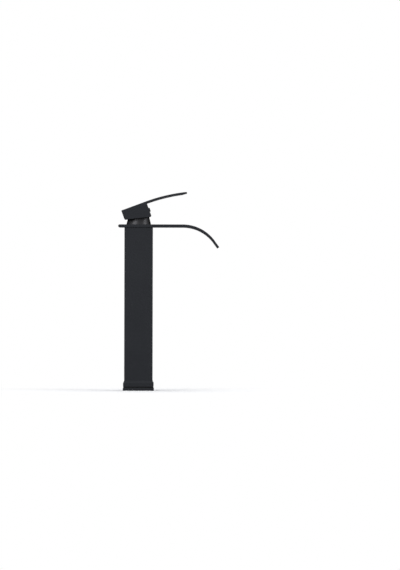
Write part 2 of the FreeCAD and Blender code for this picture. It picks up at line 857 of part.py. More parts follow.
def on_stem_line(ahead, square):
    """Where the upright line ahead of the pivot reaches a height square to the handle's top."""
    return f"(({ahead}) + ({square}) * sin(lever_tilt)) / cos(lever_tilt)", square


def blade_end(radius, short="0"):
    """The end of the blade's arc of the radius, or the point that lies short of it along the blade."""
    sweep = f"(blade_sweep - ({short}) / blade_radius * 180 / pi)"
    level = f"lever_top - blade_radius + {radius} * cos({sweep})"
    return f"block_front + {radius} * sin({sweep})", level


def shape_block_and_blade(body):
    sketch = sketch_on(body, "XZ_Plane")
    under = "(blade_radius - blade_thickness)"
    corners = [
        ("-block_rear", "lever_top - block_rear_height"),
        ("block_front", "block_front_bottom"),
        ("block_front", "lever_top - blade_thickness"),
        blade_end(under, "blade_tip_taper"),
        blade_end("(blade_radius - blade_tip_edge)"),
        blade_end("blade_radius"),
        ("block_front", "lever_top"),
        ("-block_rear", "lever_top"),
    ]
    outline(sketch, corners, {2: (under, False), 5: ("blade_radius", True)})
    pad(body, sketch, "block_width", symmetric=True)

    sketch = sketch_on(body, "XY_Plane")
    far = f"block_front + blade_length + {OVER}"
    for side in (-1, 1):
        edge, beyond = f"{side} * block_width / 2", f"{side} * (block_width / 2 + {OVER})"
        outline(sketch, [("block_front", edge), (far, f"{side} * blade_tip_width / 2"), (far, beyond),
                         ("block_front", beyond)])
    pocket(body, sketch, symmetric=True)


def soften_block_and_blade(body):
    """Round the blade's tip in plan, the block's lower front corner, and the upper and rear edges."""
    front = worth("block_front")
    near_tip = worth("block_front + blade_length - blade_tip_round")

    def at_tip(point):
        return point.x > near_tip and abs(point.y) > worth("blade_tip_width / 4")

    def at_lower_front(point):
        return near(point.x, "block_front") and near(point.z, "block_front_bottom")

    def on_top(point):
        if point.x < front:
            return near(point.z, "lever_top")
        return near(math.hypot(point.x - front, point.z - worth("lever_top - blade_radius")), "blade_radius")

    def on_rear(point):
        at_side = near(abs(point.y), "block_width / 2")
        at_bottom = near(point.z, "lever_top - block_rear_height")
        return near(point.x, "-block_rear") and (at_side or at_bottom)

    def outer_edge(point):
        return on_rear(point) or (on_top(point) and not near(point.x, "block_front"))

    fillet(body, "blade_tip_round", at_tip)
    fillet(body, "block_front_round", at_lower_front)
    fillet(body, "block_edge", outer_edge)


def make_lever_handle():
    body = new_body("lever_handle")
    tilt_with_lever(body)
    shape_block_and_blade(body)
    soften_block_and_blade(body)

    sketch = sketch_on(body, "XZ_Plane")
    rear, front = "-block_rear + block_end_wall", "block_front - block_end_wall"
    roof, below = "lever_top - block_roof", f"block_front_bottom - {OVER}"
    rectangle(sketch, (rear, below), (front, roof))
    pocket(body, sketch, "block_width - 2 * block_side_wall", symmetric=True)

    sketch = sketch_on(body, "XZ_Plane")
    in_roof = "lever_top - block_roof / 2"
    corners = [upright("-boss_rear", "boss_level"), upright("boss_front", "boss_level"),
               on_stem_line("boss_front", in_roof), on_stem_line("-boss_rear", in_roof)]
    outline(sketch, corners)
    pad(body, sketch, "boss_width", symmetric=True)

    sketch = sketch_on(body, "XZ_Plane")
    side, top = "stem_width / 2 + fit_gap", "stem_above + fit_gap"
    low = f"boss_level - {OVER}"
    corners = [upright(f"-({side})", low), upright(side, low), upright(side, top), upright(f"-({side})", top)]
    outline(sketch, corners)
    pocket(body, sketch, "stem_width + 2 * fit_gap", symmetric=True)

    sketch = sketch_on(body, "YZ_Plane", "screw_level * tan(lever_tilt)")
    circle(sketch, "0", "screw_level", "screw_diameter + 2 * fit_gap")
    pocket(body, sketch, flipped=True)


def along_lever(thing, start):
    """Lay a part that is made along +Z on the screw's line, from a distance ahead of the pivot."""
    thing.Placement = Placement(Vector(), Rotation(Vector(0, 1, 0), 1))
    bind(thing, "Placement.Rotation.Angle", "90 - lever_tilt")
    ahead = f"({start}) * cos(lever_tilt) - screw_level * sin(lever_tilt)"
    above = f"({start}) * sin(lever_tilt) + screw_level * cos(lever_tilt)"
    bind(thing, "Placement.Base.x", ahead)
    bind(thing, "Placement.Base.z", f"pivot_height + {above}")


def make_handle_grub_screw():
    body = new_body("handle_grub_screw")
    along_lever(body, "screw_start")
    sketch = sketch_on(body, "XY_Plane")
    circle(sketch, "0", "0", "screw_diameter")
    pad(body, sketch, "screw_length")
    sketch = sketch_on(body, "XY_Plane", "screw_length")
    hexagon(sketch, "screw_key")
    pocket(body, sketch, "screw_key_depth")


def make_indicator_plug():
    body = new_body("indicator_plug")
    along_lever(body, "block_front")
    shank, head = "plug_shank / 2 - fit_gap", "plug_head / 2"
    corners = [
        ("0", "-block_end_wall"),
        (shank, "-block_end_wall"),
        (shank, "0"),
        (head, "0"),
        (head, "plug_height - plug_round"),
        (f"{head} - plug_round", "plug_height"),
        ("0", "plug_height"),
    ]
    turn(body, corners, {4: ("plug_round", True)})


# Water inlets and risers


def make_inlet_block():
    body = new_body("inlet_block")
    sketch = sketch_on(body, "XY_Plane", "block_bottom")
    rounded_square(sketch, "column_bore - 2 * fit_gap", "bore_corner")
    pad(body, sketch, "inlet_block_top - block_bottom")
    sketch = sketch_on(body, "XY_Plane", "block_bottom")
    port_pair(sketch, "riser_ahead", "riser_spread", "inlet_thread")
    pocket(body, sketch, "inlet_depth", flipped=True)
    sketch = sketch_on(body, "XY_Plane", "inlet_block_top")
    port_pair(sketch, "riser_ahead", "riser_spread", "riser_diameter + 2 * fit_gap")
    pocket(body, sketch, "socket_depth")
    sketch = sketch_on(body, "XY_Plane", "block_bottom")
    port_pair(sketch, "riser_ahead", "riser_spread", "water_bore")
    pocket(body, sketch, f"inlet_depth + inlet_web + {OVER}", flipped=True)
    sketch = sketch_on(body, "XY_Plane", "block_bottom")
    circle(sketch, "-stud_behind", "0", "stud_diameter + 2 * fit_gap")
    pocket(body, sketch, "stud_grip", flipped=True)


def make_risers():
    for label, side in (("hot_riser", -1), ("cold_riser", 1)):
        body = new_body(label)
        sketch = sketch_on(body, "XY_Plane", "inlet_block_top - socket_depth")
        middle = f"{side} * riser_spread / 2"
        circle(sketch, "riser_ahead", middle, "riser_diameter")
        circle(sketch, "riser_ahead", middle, "riser_diameter - 2 * riser_wall")
        pad(body, sketch, "valve_bottom + riser_seat - inlet_block_top + socket_depth")


# Fixing below the deck


def make_mounting_stud():
    body = new_body("mounting_stud")
    sketch = sketch_on(body, "XY_Plane", "stud_bottom")
    circle(sketch, "-stud_behind", "0", "stud_diameter")
    pad(body, sketch, "stud_length")
    chamfer(body, "stud_edge", lambda point: near(point.z, "stud_bottom"))


def make_clamp_plate(label, top, thickness):
    """A round plate with a slot for the hoses, open to the front, and a hole for the stud."""
    body = new_body(label)
    sketch = sketch_on(body, "XY_Plane", f"{top} - {thickness}")
    circle(sketch, "0", "0", "clamp_diameter")
    circle(sketch, "-stud_behind", "0", "stud_diameter + 2 * clamp_gap")
    pad(body, sketch, thickness)
    sketch = sketch_on(body, "XY_Plane", top)
    half, end, start = "clamp_slot / 2", "clamp_diameter", "-clamp_slot_behind"
    corners = [
        (end, f"-{half}"),
        (end, half),
        (f"{start} + clamp_slot_round", half),
        (start, f"{half} - clamp_slot_round"),
        (start, f"-{half} + clamp_slot_round"),
        (f"{start} + clamp_slot_round", f"-{half}"),
    ]
    outline(sketch, corners, {2: ("clamp_slot_round", True), 4: ("clamp_slot_round", True)})
    pocket(body, sketch, thickness)


def make_clamp_nut():
    body = new_body("clamp_nut")
    bind(body, "Placement.Base.x", "-stud_behind")
    sketch = sketch_on(body, "XY_Plane", "washer_bottom - clamp_nut_height")
    hexagon(sketch, "clamp_nut_across")
    circle(sketch, "0", "0", "stud_diameter + 2 * fit_gap")
    pad(body, sketch, "clamp_nut_height")


make_base_plate()
make_base_gasket()
make_column_gasket()
make_column()
make_spout_top_shell()
make_spout_bottom_plate()
make_neck_seals()
make_dome_cover()
make_valve_body()
make_cartridge_base()
make_cartridge_port_seals()
make_cartridge_housing()
make_cartridge_o_ring()
make_fixed_ceramic_disc()
make_moving_ceramic_disc()
make_disc_carrier()
make_stem_bush()
make_stem_pivot_pin()
make_cartridge_stem()
make_cartridge_nut()
make_lever_handle()
make_handle_grub_screw()
make_indicator_plug()
make_inlet_block()
make_risers()
make_mounting_stud()
make_clamp_plate("clamp_gasket", "clamp_top", "clamp_gasket_thickness")
make_clamp_plate("clamp_washer", "washer_top", "clamp_washer_thickness")
make_clamp_nut()

doc.recompute()
for thing in doc.Objects:
    if {"Invalid", "Error"} & set(thing.State):
        raise RuntimeError(f"{thing.Label} failed: {thing.State}")
for part in subparts:
    if part.Shape.isNull() or not part.Shape.isValid():
        raise RuntimeError(f"{part.Label} has no valid shape")

os.makedirs("parts", exist_ok=True)
for part in subparts:
    part.Shape.exportStep(f"parts/{part.Label}.step")
    print(f"{part.Label}: {len(part.Shape.Solids)} solids, {part.Shape.Volume:.0f} cubic millimetres")
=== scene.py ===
# %% [markdown]
# # A tall basin mixer in matte black
# The real tap is a square brass column on a thin foot plate, with a flat spout that bends down at its tip, a turned
# cover and a block-shaped lever. The solids of all its parts are loaded first and stay where they are. This lesson
# gives them their finishes, and makes again by rule the parts that gain from it: the bent spout, the screw threads
# and the clamping nut.

# %% Load the solids
import json
import math

import bmesh
import bpy
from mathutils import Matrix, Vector


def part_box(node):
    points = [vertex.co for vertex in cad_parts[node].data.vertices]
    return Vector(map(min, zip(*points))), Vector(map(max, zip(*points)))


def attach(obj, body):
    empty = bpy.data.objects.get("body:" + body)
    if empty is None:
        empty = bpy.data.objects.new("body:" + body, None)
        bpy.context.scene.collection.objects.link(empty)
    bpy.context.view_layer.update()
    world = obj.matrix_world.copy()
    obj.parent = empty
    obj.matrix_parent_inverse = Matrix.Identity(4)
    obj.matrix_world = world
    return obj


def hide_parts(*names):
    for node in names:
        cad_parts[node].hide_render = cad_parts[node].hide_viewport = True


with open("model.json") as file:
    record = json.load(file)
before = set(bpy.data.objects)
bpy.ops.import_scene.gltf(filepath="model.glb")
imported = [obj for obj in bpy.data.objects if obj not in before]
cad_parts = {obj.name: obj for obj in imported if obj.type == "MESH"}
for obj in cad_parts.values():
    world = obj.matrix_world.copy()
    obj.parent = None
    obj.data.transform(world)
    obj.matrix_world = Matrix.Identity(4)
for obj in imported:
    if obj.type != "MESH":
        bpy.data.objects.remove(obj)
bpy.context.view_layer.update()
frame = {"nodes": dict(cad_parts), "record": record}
nodes = frame["nodes"]

# %% [markdown]
# ## Camera
# The tap is seen square from the side. No face that runs away from the viewer shows more than a hair's breadth, so
# the camera stands far off, level, and opposite the middle of the picture, as for a catalogue. A very long lens does
# that. A camera without perspective would come close too, but a lens keeps the slight turn of the far edges.

# %% Place the camera
IMAGE_HEIGHT = 570
METRES_PER_PIXEL = 0.001596
VIEW_DISTANCE = 8.0
PICTURE_CENTRE_X, PICTURE_CENTRE_Z = 0.0980, 0.1685
ROLL = math.radians(0.13)

camera_data = bpy.data.cameras.new("side_camera")
camera_data.lens = VIEW_DISTANCE / METRES_PER_PIXEL * camera_data.sensor_width / IMAGE_HEIGHT
camera_data.clip_end = 100
camera = bpy.data.objects.new("side_camera", camera_data)
camera.location = (PICTURE_CENTRE_X, -VIEW_DISTANCE, PICTURE_CENTRE_Z)
camera.rotation_euler = (math.pi / 2, 0, 0)
camera.rotation_euler.rotate_axis("Z", ROLL)
bpy.context.scene.collection.objects.link(camera)
bpy.context.scene.camera = camera
bpy.context.scene.view_settings.view_transform = "Standard"
print("lens", round(camera_data.lens, 1), "mm")

# %% [markdown]
# ## Node helpers
# Shader trees and geometry trees are both built from nodes that are linked by their sockets. Linking them one by one
# takes many lines, so one helper places a node, sets it, and fills each input with a value or with another node's
# output. A second one does arithmetic, and a third starts a group with named sockets.

# %% Helpers that build node trees
def place(tree, kind, inputs=None, **settings):
    """A node of the kind, with its settings, and a value or an output for each named input."""
    node = tree.nodes.new(kind)
    for name, value in settings.items():
        setattr(node, name, value)
    for name, value in (inputs or {}).items():
        if isinstance(value, bpy.types.NodeSocket):
            tree.links.new(value, node.inputs[name])
        else:
            node.inputs[name].default_value = value
    return node


def calculate(tree, operation, *values):
    """The output of a Math node."""
    return place(tree, "ShaderNodeMath", dict(enumerate(values)), operation=operation).outputs[0]


def start_group(name, kind, inputs, outputs):
    """An empty group with named sockets, its input node and its output node."""
    tree = bpy.data.node_groups.new(name, kind)
    for label, socket_type, default in inputs:
        socket = tree.interface.new_socket(label, in_out="INPUT", socket_type=socket_type)
        if default is not None:
            socket.default_value = default
    for label, socket_type in outputs:
        tree.interface.new_socket(label, in_out="OUTPUT", socket_type=socket_type)
    return tree, tree.nodes.new("NodeGroupInput"), tree.nodes.new("NodeGroupOutput")


print("node helpers ready")

# %% [markdown]
# ## Surface effects that several finishes share
# Paint, plastic and rubber all have a fine grain, every finish drifts a little in tone, and turned metal has rings
# from the cutter. Each effect is a shader group, so that a finish only chooses its scale and its two tones. The groups
# put out heights and colours, and the shader itself stays in the finish.

# %% Fine grain: a pimpled height
FLOAT, COLOUR, VECTOR = "NodeSocketFloat", "NodeSocketColor", "NodeSocketVector"
FINER_SCALE, FINER_SHARE = 3.1, 0.35

grain, grain_in, grain_out = start_group(
    "fine_grain", "ShaderNodeTree", [("Vector", VECTOR, None), ("Grains per Metre", FLOAT, 1500.0)],
    [("Height", FLOAT)])
coarse = place(grain, "ShaderNodeTexNoise", {"Vector": grain_in.outputs["Vector"], "Detail": 2.0, "Roughness": 0.55,
                                             "Scale": grain_in.outputs["Grains per Metre"]})
finer_scale = calculate(grain, "MULTIPLY", grain_in.outputs["Grains per Metre"], FINER_SCALE)
finer = place(grain, "ShaderNodeTexNoise", {"Vector": grain_in.outputs["Vector"], "Detail": 1.0,
                                            "Scale": finer_scale})
pimples = calculate(grain, "MULTIPLY_ADD", finer.outputs["Fac"], FINER_SHARE, coarse.outputs["Fac"])
grain.links.new(pimples, grain_out.inputs["Height"])
print(grain.name, "with", len(grain.nodes), "nodes")

# %% Tone drift: a slow wander between two colours
drift, drift_in, drift_out = start_group(
    "tone_drift", "ShaderNodeTree",
    [("Vector", VECTOR, None), ("Patches per Metre", FLOAT, 30.0), ("Tone A", COLOUR, (0, 0, 0, 1)),
     ("Tone B", COLOUR, (1, 1, 1, 1))], [("Color", COLOUR)])
patches = place(drift, "ShaderNodeTexNoise", {"Vector": drift_in.outputs["Vector"], "Detail": 3.0,
                                              "Scale": drift_in.outputs["Patches per Metre"]})
patch_mask = place(drift, "ShaderNodeMapRange", {"Value": patches.outputs["Fac"], "From Min": 0.3, "From Max": 0.7})
tones = place(drift, "ShaderNodeMix", {"Factor": patch_mask.outputs["Result"], 6: drift_in.outputs["Tone A"],
                                       7: drift_in.outputs["Tone B"]}, data_type="RGBA")
drift.links.new(tones.outputs[2], drift_out.inputs["Color"])
print(drift.name, "with", len(drift.nodes), "nodes")

# %% Turning marks: rings left by the cutter around the Z axis
marks, marks_in, marks_out = start_group(
    "turning_marks", "ShaderNodeTree", [("Vector", VECTOR, None), ("Rings per Metre", FLOAT, 2500.0)],
    [("Height", FLOAT)])
place_of = place(marks, "ShaderNodeSeparateXYZ", {"Vector": marks_in.outputs["Vector"]})
flat_place = place(marks, "ShaderNodeCombineXYZ", {"X": place_of.outputs["X"], "Y": place_of.outputs["Y"]})
from_axis = place(marks, "ShaderNodeVectorMath", {0: flat_place.outputs["Vector"]}, operation="LENGTH")
along_cut = calculate(marks, "ADD", from_axis.outputs["Value"], place_of.outputs["Z"])
ring_number = calculate(marks, "MULTIPLY", along_cut, marks_in.outputs["Rings per Metre"])
ring_noise = place(marks, "ShaderNodeTexNoise", {"W": ring_number, "Scale": 1.0, "Detail": 2.0},
                   noise_dimensions="1D")
marks.links.new(ring_noise.outputs["Fac"], marks_out.inputs["Height"])
print(marks.name, "with", len(marks.nodes), "nodes")

# %% [markdown]
# ## Finishes
# A finish is one Principled shader. Its base colour comes from the tone drift. Its roughness follows the height of
# the grain or the rings, and its normal comes from a bump of that height, whose depth is given in metres, so that
# the grain has its real size. A flat colour would look like a drawing: the drift and the grain are faint, but they
# break up the reflections as paint and metal do.

# %% One function for all the finishes
def new_finish(name, tones, roughness, bump, patches=30.0, grains=None, rings=None, stretch=(1, 1, 1), **constants):
    """A finish from two tones, a range of roughness, a bump depth in metres, and a grain or turning marks."""
    material = bpy.data.materials.new(name)
    material.use_nodes = True
    tree = material.node_tree
    shader = tree.nodes["Principled BSDF"]
    for socket, value in constants.items():
        shader.inputs[socket.replace("_", " ")].default_value = value
    coordinates = place(tree, "ShaderNodeTexCoord").outputs["Object"]
    coordinates = place(tree, "ShaderNodeMapping", {"Vector": coordinates, "Scale": stretch}).outputs["Vector"]
    wander = place(tree, "ShaderNodeGroup", node_tree=drift)
    for socket, value in (("Patches per Metre", patches), ("Tone A", (*tones[0], 1)), ("Tone B", (*tones[1], 1))):
        wander.inputs[socket].default_value = value
    surface = place(tree, "ShaderNodeGroup", node_tree=marks if rings else grain)
    surface.inputs[1].default_value = rings or grains
    for group in (wander, surface):
        tree.links.new(coordinates, group.inputs["Vector"])
    gloss = place(tree, "ShaderNodeMapRange", {"Value": surface.outputs["Height"], "From Min": 0.3, "From Max": 0.9,
                                               "To Min": roughness[0], "To Max": roughness[1]})
    relief = place(tree, "ShaderNodeBump", {"Height": surface.outputs["Height"], "Distance": bump, "Strength": 1.0})
    tree.links.new(wander.outputs["Color"], shader.inputs["Base Color"])
    tree.links.new(gloss.outputs["Result"], shader.inputs["Roughness"])
    tree.links.new(relief.outputs["Normal"], shader.inputs["Normal"])
    return material


finishes = {}
print("ready to mix finishes")

# %% [markdown]
# ### Black paint
# The outside is powder coated: matte, nearly neutral black with a cool touch, and a fine orange peel. The cover is
# turned and has a thin black paint with metal flakes: it shines like satin and darkens towards its edges, which a
# metallic shader with a dark edge tint gives. The small plug is moulded in black plastic.

# %% Powder coat, satin paint and plug
finishes["matte_black_metal"] = new_finish(
    "powder_coat", ((0.0110, 0.0122, 0.0152), (0.0136, 0.0151, 0.0183)), (0.46, 0.62), 0.000015, patches=25.0,
    grains=1700.0, Specular_IOR_Level=0.15)
finishes["satin_black_metal"] = new_finish(
    "satin_paint", ((0.030, 0.030, 0.032), (0.036, 0.036, 0.038)), (0.40, 0.50), 0.000001, patches=60.0,
    rings=2200.0, Metallic=1.0, Specular_Tint=(0.15, 0.15, 0.15, 1))
finishes["indicator"] = new_finish(
    "plug_plastic", ((0.011, 0.011, 0.012), (0.016, 0.016, 0.017)), (0.3, 0.42), 0.000008, patches=300.0,
    grains=5000.0)
print(sorted(finishes))

# %% [markdown]
# ### Metals inside and below
# The body inserts are machined brass with cutter rings, the risers are drawn copper tube with faint streaks along
# their length, and the stud, nut and washer are zinc plated steel. Stretching the coordinates along Z turns the round
# grain into streaks.

# %% Brass, copper and zinc plated steel
finishes["brass"] = new_finish(
    "machined_brass", ((0.62, 0.43, 0.17), (0.74, 0.54, 0.25)), (0.2, 0.36), 0.000008, patches=90.0, rings=3000.0,
    Metallic=1.0)
finishes["copper"] = new_finish(
    "drawn_copper", ((0.6, 0.27, 0.16), (0.74, 0.38, 0.25)), (0.22, 0.42), 0.000006, patches=120.0, grains=2600.0,
    stretch=(1, 1, 0.03), Metallic=1.0)
finishes["steel"] = new_finish(
    "zinc_plate", ((0.5, 0.52, 0.55), (0.62, 0.62, 0.6)), (0.26, 0.46), 0.000008, patches=160.0, grains=3500.0,
    Metallic=1.0)
print(sorted(finishes))

# %% [markdown]
# ### Plastic, rubber and ceramic
# The cartridge is moulded in off-white plastic, its seals and the gasket under the column are black rubber with a dull
# bloom, and its discs are lapped ceramic, which is almost polished. The rubber is set darker than real rubber and with
# almost no sheen, so that the gasket also paints the shade of the seam between the column's foot and its plate.

# %% Plastic, rubber and ceramic
finishes["cartridge_plastic"] = new_finish(
    "moulded_plastic", ((0.72, 0.72, 0.69), (0.8, 0.8, 0.77)), (0.38, 0.52), 0.00001, patches=140.0, grains=4200.0)
# The rubber's near-black tones and low sheen are partly painted shade: the gasket line stands in for the seam's shadow.
finishes["rubber"] = new_finish(
    "seal_rubber_and_seam_shade", ((0.006, 0.006, 0.006), (0.012, 0.012, 0.0115)), (0.66, 0.88), 0.000015, patches=220.0,
    grains=2400.0, Specular_IOR_Level=0.05)
finishes["ceramic"] = new_finish(
    "lapped_ceramic", ((0.78, 0.77, 0.73), (0.86, 0.85, 0.82)), (0.1, 0.2), 0.000002, patches=400.0, grains=9000.0)
print(len(finishes), "finishes")

# %% [markdown]
# ## Dressing the solids
# The record says which finish slot each solid has, so a loop gives every solid its finish. The solids are already
# smooth, with their own normals, and need no more.

# %% Give each solid its finish
slot_of = {part["node"]: part["material_slot"] for part in frame["record"]["subparts"]}
for name, node in nodes.items():
    node.material_slots[0].material = finishes[slot_of[name]]
print(len(slot_of), "solids dressed")

# %% [markdown]
# ## Turning a geometry tree into a plain mesh
# A geometry tree lives in a modifier. Its sizes are set by the sockets' identifiers, the object is evaluated once, and
# the result is kept as a plain mesh, because only that can be exported and ride on a body.

# %% Run a geometry tree and keep its mesh
def made_by(tree, name, sizes, smooth_below, blank=None):
    """An object with the mesh that the tree makes from the sizes, smooth where faces meet at less than the angle."""
    piece = bpy.data.objects.new(name, blank or bpy.data.meshes.new(name))
    bpy.context.scene.collection.objects.link(piece)
    modifier = piece.modifiers.new(name, "NODES")
    modifier.node_group = tree
    for item in tree.interface.items_tree:
        if item.in_out == "INPUT" and item.name in sizes:
            modifier[item.identifier] = sizes[item.name]
    made = bpy.data.meshes.new_from_object(piece.evaluated_get(bpy.context.evaluated_depsgraph_get()))
    piece.modifiers.clear()
    piece.data = made
    made.shade_smooth()
    made.set_sharp_from_angle(angle=smooth_below)
    print(name, len(made.vertices), "points,", len(made.polygons), "faces")
    return piece


print("ready to keep meshes")

# %% [markdown]
# ## The bent spout
# The spout is a flat plate that runs straight over the column, bends down in one arc and ends in a short straight
# lip. It could be cut from the solid's facets, but a sweep gives a finer bend: a line of points follows the rule of
# the path, a rounded section is swept along it, and the water channel is the same path swept with a smaller section
# and taken away. The plate gets thinner along the bend, so the upper half of each section is set in by a distance that
# the path carries along. The points gather at the rear, where the plate's end is rounded.

# %% A value that stays with its points
def carry(tree, geometry, kind, value):
    """The geometry with a value for each point, and that value, which stays with the points from here on."""
    node = tree.nodes.new("GeometryNodeCaptureAttribute")
    node.capture_items.new(kind, "Value")
    tree.links.new(geometry, node.inputs["Geometry"])
    tree.links.new(value, node.inputs["Value"])
    return node.outputs["Geometry"], node.outputs["Value"]


print("ready to carry values")

# %% The path: straight, then an arc and a straight lip
GEOMETRY, INTEGER, MATERIAL = "NodeSocketGeometry", "NodeSocketInt", "NodeSocketMaterial"

path, path_in, path_out = start_group(
    "bent_path", "GeometryNodeTree",
    [("Rear", FLOAT, None), ("Bend Start", FLOAT, None), ("Level", FLOAT, None), ("Bend Radius", FLOAT, None),
     ("Bend Angle", FLOAT, None), ("Lip", FLOAT, None), ("Points", INTEGER, None), ("Thinning", FLOAT, None)],
    [("Curve", GEOMETRY), ("Inwards", VECTOR)])
rear, bend_start, level, bend_radius, bend_angle, lip, points, thinning = path_in.outputs[:8]
straight = calculate(path, "SUBTRACT", bend_start, rear)
to_lip = calculate(path, "MULTIPLY_ADD", bend_radius, bend_angle, straight)
length = calculate(path, "ADD", to_lip, lip)
share = calculate(path, "DIVIDE", place(path, "GeometryNodeInputIndex").outputs[0],
                  calculate(path, "SUBTRACT", points, 1.0))
travelled = calculate(path, "MULTIPLY", calculate(path, "POWER", share, 1.5), length)
into_bend = calculate(path, "DIVIDE", calculate(path, "SUBTRACT", travelled, straight), bend_radius)
turned = calculate(path, "MINIMUM", calculate(path, "MAXIMUM", into_bend, 0.0), bend_angle)
on_lip = calculate(path, "MAXIMUM", calculate(path, "SUBTRACT", travelled, to_lip), 0.0)
sine, cosine = calculate(path, "SINE", turned), calculate(path, "COSINE", turned)
run = calculate(path, "ADD", rear, calculate(path, "MINIMUM", travelled, straight))
ahead = calculate(path, "MULTIPLY_ADD", on_lip, cosine, calculate(path, "MULTIPLY_ADD", bend_radius, sine, run))
fallen = calculate(path, "SUBTRACT", cosine, 1.0)
drop = calculate(path, "MULTIPLY", bend_radius, fallen)
drop = calculate(path, "SUBTRACT", drop, calculate(path, "MULTIPLY", on_lip, sine))
spot = place(path, "ShaderNodeCombineXYZ", {"X": ahead, "Z": calculate(path, "ADD", level, drop)})
row = place(path, "GeometryNodeMeshLine", {"Count": points})
bent = place(path, "GeometryNodeSetPosition", {"Geometry": row.outputs["Mesh"], "Position": spot.outputs["Vector"]})
inset = calculate(path, "MULTIPLY", thinning, fallen)
inwards = place(path, "ShaderNodeCombineXYZ", {"X": calculate(path, "MULTIPLY", inset, sine),
                                               "Z": calculate(path, "MULTIPLY", inset, cosine)})
bent, inwards = carry(path, bent.outputs["Geometry"], "VECTOR", inwards.outputs["Vector"])
curve = place(path, "GeometryNodeMeshToCurve", {"Mesh": bent})
upright = place(path, "GeometryNodeSetCurveNormal", {"Curve": curve.outputs["Curve"]}, mode="Z_UP")
path.links.new(upright.outputs["Curve"], path_out.inputs["Curve"])
path.links.new(inwards, path_out.inputs["Inwards"])
print(path.name, "with", len(path.nodes), "nodes")

# %% The plate: a rounded section swept along the path
plate, plate_in, plate_out = start_group(
    "bent_spout", "GeometryNodeTree",
    [("Rear", FLOAT, None), ("Bend Start", FLOAT, None), ("Level", FLOAT, None), ("Bend Radius", FLOAT, None),
     ("Bend Angle", FLOAT, None), ("Lip", FLOAT, None), ("Points", INTEGER, None), ("Thinning", FLOAT, None),
     ("Width", FLOAT, None), ("Thickness", FLOAT, None), ("Edge", FLOAT, None), ("Skin", FLOAT, None),
     ("Rim", FLOAT, None), ("Neck Radius", FLOAT, None), ("Finish", MATERIAL, None)], [("Mesh", GEOMETRY)])
size = plate_in.outputs


def swept(profile, rear_end, lip_length):
    """The section swept along the bent path, closed at both ends, with its upper half set in along the bend."""
    line = place(plate, "GeometryNodeGroup", node_tree=path)
    for label, value in (("Rear", rear_end), ("Lip", lip_length)):
        plate.links.new(value, line.inputs[label])
    for label in ("Bend Start", "Level", "Bend Radius", "Bend Angle", "Points", "Thinning"):
        plate.links.new(size[label], line.inputs[label])
    corner = place(plate, "ShaderNodeSeparateXYZ", {"Vector": place(plate, "GeometryNodeInputPosition").outputs[0]})
    above = place(plate, "FunctionNodeCompare", {"A": 0.0, "B": corner.outputs["Y"]})
    profile, upper = carry(plate, profile, "BOOLEAN", above.outputs["Result"])
    tube = place(plate, "GeometryNodeCurveToMesh", {"Curve": line.outputs["Curve"], "Profile Curve": profile,
                                                    "Fill Caps": True})
    return place(plate, "GeometryNodeSetPosition", {"Geometry": tube.outputs["Mesh"], "Selection": upper,
                                                    "Offset": line.outputs["Inwards"]}).outputs["Geometry"]


section = place(plate, "GeometryNodeCurvePrimitiveQuadrilateral", {"Width": size["Width"],
                                                                   "Height": size["Thickness"]})
section = place(plate, "GeometryNodeFilletCurve", {"Curve": section.outputs["Curve"], "Radius": size["Edge"],
                                                   "Count": 4}, mode="POLY")
outside = swept(section.outputs["Curve"], size["Rear"], size["Lip"])
print(plate.name, "swept, with", len(plate.nodes), "nodes so far")

# %% The rounded rear end: the section gets thinner there as a circle does, but never quite to nothing
NEARLY_CLOSED = 1.002

half = calculate(plate, "MULTIPLY", size["Thickness"], 0.5)
where = place(plate, "ShaderNodeSeparateXYZ", {"Vector": place(plate, "GeometryNodeInputPosition").outputs[0]})
from_round = calculate(plate, "SUBTRACT", calculate(plate, "ADD", size["Rear"], half), where.outputs["X"])
share = calculate(plate, "DIVIDE", calculate(plate, "MAXIMUM", from_round, 0.0), half)
thinner = calculate(plate, "SQRT", calculate(plate, "SUBTRACT", NEARLY_CLOSED,
                                             calculate(plate, "MULTIPLY", share, share)))
from_level = calculate(plate, "SUBTRACT", where.outputs["Z"], size["Level"])
at_rear = calculate(plate, "MULTIPLY_ADD", from_level, thinner, size["Level"])
nosed = place(plate, "ShaderNodeCombineXYZ", {"X": where.outputs["X"], "Y": where.outputs["Y"], "Z": at_rear})
outside = place(plate, "GeometryNodeSetPosition", {
    "Geometry": outside, "Position": nosed.outputs["Vector"],
    "Selection": place(plate, "FunctionNodeCompare", {"A": from_round, "B": 0.0}).outputs["Result"]})
print(plate.name, "rounded, with", len(plate.nodes), "nodes so far")

# %% The water channel and the neck hole, which are taken away
NECK_CUTTER_LENGTH = 0.05

channel_width = calculate(plate, "MULTIPLY_ADD", size["Rim"], -2.0, size["Width"])
channel = place(plate, "GeometryNodeCurvePrimitiveQuadrilateral", {"Width": channel_width,
                                                                   "Height": size["Thickness"]})
lower = place(plate, "ShaderNodeCombineXYZ", {"Y": size["Skin"]})
channel = place(plate, "GeometryNodeTransform", {"Geometry": channel.outputs["Curve"],
                                                 "Translation": lower.outputs["Vector"]})
inside = swept(channel.outputs["Geometry"], calculate(plate, "ADD", size["Rear"], size["Rim"]),
               calculate(plate, "ADD", size["Lip"], size["Rim"]))
neck = place(plate, "GeometryNodeMeshCylinder", {"Vertices": 96, "Radius": size["Neck Radius"],
                                                "Depth": NECK_CUTTER_LENGTH})
neck = place(plate, "GeometryNodeTransform", {
    "Geometry": neck.outputs["Mesh"],
    "Translation": place(plate, "ShaderNodeCombineXYZ", {"Z": size["Level"]}).outputs["Vector"]})
hollow = place(plate, "GeometryNodeMeshBoolean", {"Mesh 1": outside.outputs["Geometry"], "Mesh 2": inside},
               operation="DIFFERENCE", solver="EXACT")
plate.links.new(neck.outputs["Geometry"], hollow.inputs["Mesh 2"])
real = place(plate, "GeometryNodeRealizeInstances", {"Geometry": hollow.outputs["Mesh"]})
painted = place(plate, "GeometryNodeSetMaterial", {"Geometry": real.outputs["Geometry"], "Material": size["Finish"]})
plate.links.new(painted.outputs["Geometry"], plate_out.inputs["Mesh"])
print(plate.name, "with", len(plate.nodes), "nodes")

